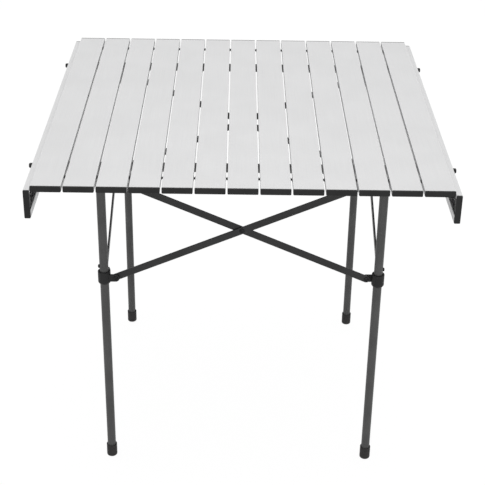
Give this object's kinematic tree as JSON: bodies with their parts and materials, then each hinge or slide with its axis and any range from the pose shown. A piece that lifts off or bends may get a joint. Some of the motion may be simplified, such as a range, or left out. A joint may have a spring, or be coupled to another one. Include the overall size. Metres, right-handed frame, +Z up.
{
  "type": "roll top camp table",
  "caption": "Square folding camp table: a roll-up top of hollow aluminium slats on two rails, over slim tube legs tied by crossed flat braces with sliding collars.",
  "frame": {"origin": "on the floor, under the middle of the table", "axes": "+Z up, X across the slats from left to right, Y along the slats with the front at -Y"},
  "size_m": [0.7388, 0.74, 0.64],
  "materials": {
    "slat_aluminium": "fine matte silver anodised",
    "black_plastic": "matte moulded black",
    "grey_powder_coat": "satin dark grey powder coat",
    "brace_paint": "satin charcoal powder coat",
    "elastic_cord": "braided black elastic"
  },
  "bodies": {
    "front_left_leg": {"leg_front_left": "grey_powder_coat", "foot_front_left": "black_plastic", "hub_front_left": "black_plastic"},
    "front_right_leg": {"leg_front_right": "grey_powder_coat", "foot_front_right": "black_plastic", "hub_front_right": "black_plastic"},
    "rear_right_leg": {"leg_rear_right": "grey_powder_coat", "foot_rear_right": "black_plastic", "hub_rear_right": "black_plastic"},
    "rear_left_leg": {"leg_rear_left": "grey_powder_coat", "foot_rear_left": "black_plastic", "hub_rear_left": "black_plastic"},
    "front_left_collar": {"collar_front_left": "black_plastic"},
    "front_right_collar": {"collar_front_right": "black_plastic"},
    "rear_right_collar": {"collar_rear_right": "black_plastic"},
    "rear_left_collar": {"collar_rear_left": "black_plastic"},
    "front_outer_brace": {"brace_front_outer": "brace_paint"},
    "front_inner_brace": {"brace_front_inner": "brace_paint"},
    "right_outer_brace": {"brace_right_outer": "brace_paint"},
    "right_inner_brace": {"brace_right_inner": "brace_paint"},
    "rear_outer_brace": {"brace_rear_outer": "brace_paint"},
    "rear_inner_brace": {"brace_rear_inner": "brace_paint"},
    "left_outer_brace": {"brace_left_outer": "brace_paint"},
    "left_inner_brace": {"brace_left_inner": "brace_paint"},
    "rails": {"rail_front": "grey_powder_coat", "rail_rear": "grey_powder_coat", "rail_plugs": "black_plastic", "slat_13": "slat_aluminium", "slat_13_caps": "black_plastic", "cord_front": "elastic_cord", "cord_rear": "elastic_cord"},
    "top_slat_12": {"slat_12": "slat_aluminium", "slat_12_caps": "black_plastic"},
    "top_slat_11": {"slat_11": "slat_aluminium", "slat_11_caps": "black_plastic"},
    "top_slat_10": {"slat_10": "slat_aluminium", "slat_10_caps": "black_plastic"},
    "top_slat_9": {"slat_09": "slat_aluminium", "slat_09_caps": "black_plastic"},
    "top_slat_8": {"slat_08": "slat_aluminium", "slat_08_caps": "black_plastic"},
    "top_slat_7": {"slat_07": "slat_aluminium", "slat_07_caps": "black_plastic"},
    "top_slat_6": {"slat_06": "slat_aluminium", "slat_06_caps": "black_plastic"},
    "top_slat_5": {"slat_05": "slat_aluminium", "slat_05_caps": "black_plastic"},
    "top_slat_4": {"slat_04": "slat_aluminium", "slat_04_caps": "black_plastic"},
    "top_slat_3": {"slat_03": "slat_aluminium", "slat_03_caps": "black_plastic"},
    "top_slat_2": {"slat_02": "slat_aluminium", "slat_02_caps": "black_plastic"},
    "top_slat_1": {"slat_01": "slat_aluminium", "slat_01_caps": "black_plastic"},
    "left_end_slat": {"end_slat_left": "slat_aluminium", "end_slat_left_caps": "black_plastic"},
    "right_end_slat": {"end_slat_right": "slat_aluminium", "end_slat_right_caps": "black_plastic"}
  },
  "joints": [
    {"name": "top_lift", "type": "slide", "parent": "front_left_leg", "child": "rails", "axis": [0, 0, 1], "range_m": [0, 0.36]},
    {"name": "front_inner_fold", "type": "hinge", "parent": "front_left_leg", "child": "front_inner_brace", "pos_m": [-0.227, -0.248, 0.598], "axis": [0, 1, 0], "range_deg": [0, 60]},
    {"name": "front_cross", "type": "hinge", "parent": "front_inner_brace", "child": "front_outer_brace", "pos_m": [0, -0.248, 0.5], "axis": [0, 1, 0], "range_deg": [-120, 0]},
    {"name": "front_right_leg_fold", "type": "hinge", "parent": "front_outer_brace", "child": "front_right_leg", "pos_m": [0.227, -0.248, 0.598], "axis": [0, 1, 0], "range_deg": [0, 60]},
    {"name": "front_right_collar_fold", "type": "hinge", "parent": "front_inner_brace", "child": "front_right_collar", "pos_m": [0.227, -0.248, 0.402], "axis": [0, 1, 0], "range_deg": [-60, 0]},
    {"name": "front_left_collar_fold", "type": "hinge", "parent": "front_outer_brace", "child": "front_left_collar", "pos_m": [-0.227, -0.248, 0.402], "axis": [0, 1, 0], "range_deg": [0, 60]},
    {"name": "left_outer_fold", "type": "hinge", "parent": "front_left_leg", "child": "left_outer_brace", "pos_m": [-0.248, -0.227, 0.598], "axis": [-1, 0, 0], "range_deg": [0, 60]},
    {"name": "left_cross", "type": "hinge", "parent": "left_outer_brace", "child": "left_inner_brace", "pos_m": [-0.248, 0, 0.5], "axis": [-1, 0, 0], "range_deg": [-120, 0]},
    {"name": "rear_left_leg_fold", "type": "hinge", "parent": "left_inner_brace", "child": "rear_left_leg", "pos_m": [-0.248, 0.227, 0.598], "axis": [-1, 0, 0], "range_deg": [0, 60]},
    {"name": "rear_left_collar_fold", "type": "hinge", "parent": "left_outer_brace", "child": "rear_left_collar", "pos_m": [-0.248, 0.227, 0.402], "axis": [-1, 0, 0], "range_deg": [-60, 0]},
    {"name": "right_inner_fold", "type": "hinge", "parent": "front_right_leg", "child": "right_inner_brace", "pos_m": [0.248, -0.227, 0.598], "axis": [-1, 0, 0], "range_deg": [0, 60]},
    {"name": "right_cross", "type": "hinge", "parent": "right_inner_brace", "child": "right_outer_brace", "pos_m": [0.248, 0, 0.5], "axis": [-1, 0, 0], "range_deg": [-120, 0]},
    {"name": "rear_right_leg_fold", "type": "hinge", "parent": "right_outer_brace", "child": "rear_right_leg", "pos_m": [0.248, 0.227, 0.598], "axis": [-1, 0, 0], "range_deg": [0, 60]},
    {"name": "rear_right_collar_fold", "type": "hinge", "parent": "right_inner_brace", "child": "rear_right_collar", "pos_m": [0.248, 0.227, 0.402], "axis": [-1, 0, 0], "range_deg": [-60, 0]},
    {"name": "rear_outer_fold", "type": "hinge", "parent": "rear_left_leg", "child": "rear_outer_brace", "pos_m": [-0.227, 0.248, 0.598], "axis": [0, 1, 0], "range_deg": [0, 60]},
    {"name": "rear_cross", "type": "hinge", "parent": "rear_outer_brace", "child": "rear_inner_brace", "pos_m": [0, 0.248, 0.5], "axis": [0, 1, 0], "range_deg": [-120, 0]},
    {"name": "slat_12_roll", "type": "hinge", "parent": "rails", "child": "top_slat_12", "pos_m": [0.297, 0, 0.64], "axis": [0, 1, 0], "range_deg": [0, 34.5], "deforming": ["cord_front", "cord_rear"]},
    {"name": "slat_11_roll", "type": "hinge", "parent": "top_slat_12", "child": "top_slat_11", "pos_m": [0.243, 0, 0.64], "axis": [0, 1, 0], "range_deg": [0, 35.4], "deforming": ["cord_front", "cord_rear"]},
    {"name": "slat_10_roll", "type": "hinge", "parent": "top_slat_11", "child": "top_slat_10", "pos_m": [0.189, 0, 0.64], "axis": [0, 1, 0], "range_deg": [0, 36.29], "deforming": ["cord_front", "cord_rear"]},
    {"name": "slat_9_roll", "type": "hinge", "parent": "top_slat_10", "child": "top_slat_9", "pos_m": [0.135, 0, 0.64], "axis": [0, 1, 0], "range_deg": [0, 37.43], "deforming": ["cord_front", "cord_rear"]},
    {"name": "slat_8_roll", "type": "hinge", "parent": "top_slat_9", "child": "top_slat_8", "pos_m": [0.081, 0, 0.64], "axis": [0, 1, 0], "range_deg": [0, 38.54], "deforming": ["cord_front", "cord_rear"]},
    {"name": "slat_7_roll", "type": "hinge", "parent": "top_slat_8", "child": "top_slat_7", "pos_m": [0.027, 0, 0.64], "axis": [0, 1, 0], "range_deg": [0, 39.85], "deforming": ["cord_front", "cord_rear"]},
    {"name": "slat_6_roll", "type": "hinge", "parent": "top_slat_7", "child": "top_slat_6", "pos_m": [-0.027, 0, 0.64], "axis": [0, 1, 0], "range_deg": [0, 41.12], "deforming": ["cord_front", "cord_rear"]},
    {"name": "slat_5_roll", "type": "hinge", "parent": "top_slat_6", "child": "top_slat_5", "pos_m": [-0.081, 0, 0.64], "axis": [0, 1, 0], "range_deg": [0, 42.75], "deforming": ["cord_front", "cord_rear"]},
    {"name": "slat_4_roll", "type": "hinge", "parent": "top_slat_5", "child": "top_slat_4", "pos_m": [-0.135, 0, 0.64], "axis": [0, 1, 0], "range_deg": [0, 44.47], "deforming": ["cord_front", "cord_rear"]},
    {"name": "slat_3_roll", "type": "hinge", "parent": "top_slat_4", "child": "top_slat_3", "pos_m": [-0.189, 0, 0.64], "axis": [0, 1, 0], "range_deg": [0, 46.37], "deforming": ["cord_front", "cord_rear"]},
    {"name": "slat_2_roll", "type": "hinge", "parent": "top_slat_3", "child": "top_slat_2", "pos_m": [-0.243, 0, 0.64], "axis": [0, 1, 0], "range_deg": [0, 48.68], "deforming": ["cord_front", "cord_rear"]},
    {"name": "slat_1_roll", "type": "hinge", "parent": "top_slat_2", "child": "top_slat_1", "pos_m": [-0.297, 0, 0.64], "axis": [0, 1, 0], "range_deg": [0, 51.3], "deforming": ["cord_front", "cord_rear"]},
    {"name": "left_end_swing", "type": "hinge", "parent": "top_slat_1", "child": "left_end_slat", "pos_m": [-0.3535, 0, 0.6348], "axis": [0, 1, 0], "range_deg": [0, 138], "deforming": ["cord_front", "cord_rear"]},
    {"name": "right_end_swing", "type": "hinge", "parent": "rails", "child": "right_end_slat", "pos_m": [0.3535, 0, 0.6348], "axis": [0, -1, 0], "range_deg": [0, 90], "deforming": ["cord_front", "cord_rear"]}
  ],
  "couplings": [
    {"joint": "front_inner_fold", "follows": "top_lift", "rad_per_m": 2.9089},
    {"joint": "front_cross", "follows": "top_lift", "rad_per_m": -5.8178},
    {"joint": "front_right_leg_fold", "follows": "top_lift", "rad_per_m": 2.9089},
    {"joint": "front_right_collar_fold", "follows": "top_lift", "rad_per_m": -2.9089},
    {"joint": "front_left_collar_fold", "follows": "top_lift", "rad_per_m": 2.9089},
    {"joint": "left_outer_fold", "follows": "top_lift", "rad_per_m": 2.9089},
    {"joint": "left_cross", "follows": "top_lift", "rad_per_m": -5.8178},
    {"joint": "rear_left_leg_fold", "follows": "top_lift", "rad_per_m": 2.9089},
    {"joint": "rear_left_collar_fold", "follows": "top_lift", "rad_per_m": -2.9089},
    {"joint": "right_inner_fold", "follows": "top_lift", "rad_per_m": 2.9089},
    {"joint": "right_cross", "follows": "top_lift", "rad_per_m": -5.8178},
    {"joint": "rear_right_leg_fold", "follows": "top_lift", "rad_per_m": 2.9089},
    {"joint": "rear_right_collar_fold", "follows": "top_lift", "rad_per_m": -2.9089},
    {"joint": "rear_outer_fold", "follows": "top_lift", "rad_per_m": 2.9089},
    {"joint": "rear_cross", "follows": "top_lift", "rad_per_m": -5.8178}
  ]
}
